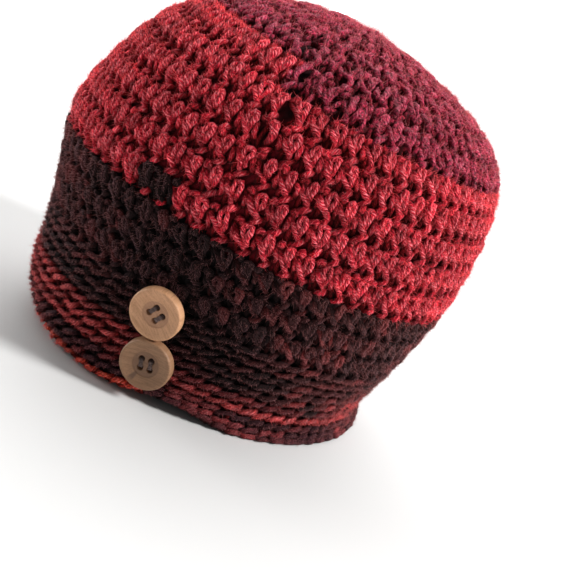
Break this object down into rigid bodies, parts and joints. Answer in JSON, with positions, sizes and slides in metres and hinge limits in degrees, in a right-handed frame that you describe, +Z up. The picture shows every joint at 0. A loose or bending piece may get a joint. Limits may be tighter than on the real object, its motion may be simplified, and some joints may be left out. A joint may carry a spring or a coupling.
{
  "type": "crocheted slouch tam",
  "caption": "Soft hollow hat crocheted in rounds, domed crown that slouches to the back, ribbed band round the head, turned buttons on one side.",
  "frame": {"origin": "middle of the box on the plane that the rim stands on", "axes": "+Z up towards the crown, -Y the wearer's front, +X the wearer's left, where the buttons are"},
  "size_m": [0.1928, 0.2192, 0.1931],
  "materials": {
    "crown_yarn": "crocheted wool blend, striped burgundy, red and dark brown",
    "band_yarn": "crocheted wool blend, dark brown with red rounds",
    "button_wood": "turned light wood, satin",
    "sewing_thread": "matt grey-brown thread"
  },
  "bodies": {
    "root": {"crown": "crown_yarn", "band": "band_yarn", "button_upper": "button_wood", "button_lower": "button_wood", "thread_upper_a": "sewing_thread", "thread_upper_b": "sewing_thread", "thread_lower_a": "sewing_thread", "thread_lower_b": "sewing_thread"}
  },
  "joints": []
}
